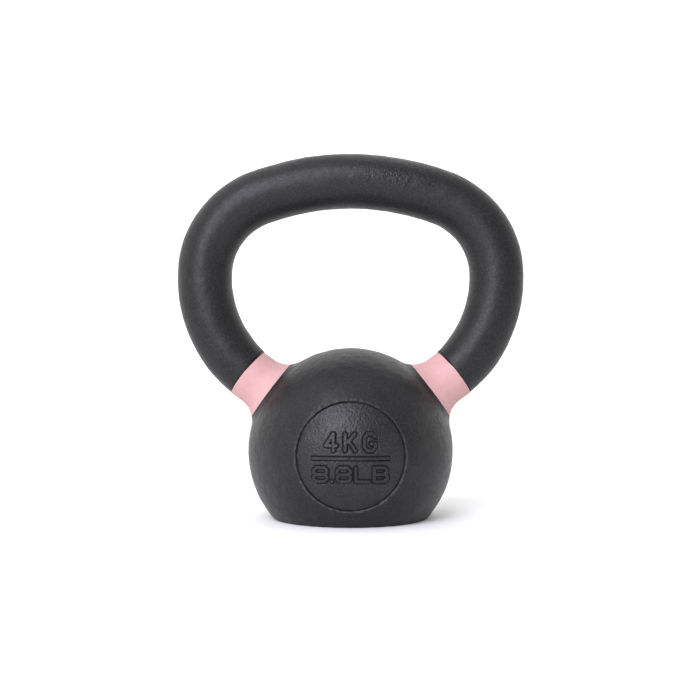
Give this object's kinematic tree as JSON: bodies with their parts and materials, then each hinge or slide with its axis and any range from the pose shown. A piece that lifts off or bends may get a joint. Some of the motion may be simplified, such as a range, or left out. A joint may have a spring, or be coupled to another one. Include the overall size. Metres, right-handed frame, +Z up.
{
  "type": "kettlebell",
  "caption": "Small cast-iron kettlebell: a round bell with a flat base, a wide bent handle, coloured bands at its roots and round recessed weight plates front and back.",
  "frame": {"origin": "centre of the flat base, on the surface the kettlebell stands on", "axes": "+Z up through the ball and the middle of the handle, X along the handle's width, -Y out of the front weight plate"},
  "size_m": [0.1602, 0.0932, 0.168],
  "materials": {
    "black_powder_coat": "matte",
    "plate_powder_coat": "matte",
    "pink_band": "matte"
  },
  "bodies": {
    "root": {"bell": "black_powder_coat", "handle": "black_powder_coat", "right_colour_band": "pink_band", "left_colour_band": "pink_band", "front_weight_plate": "plate_powder_coat", "back_weight_plate": "plate_powder_coat"}
  },
  "joints": []
}
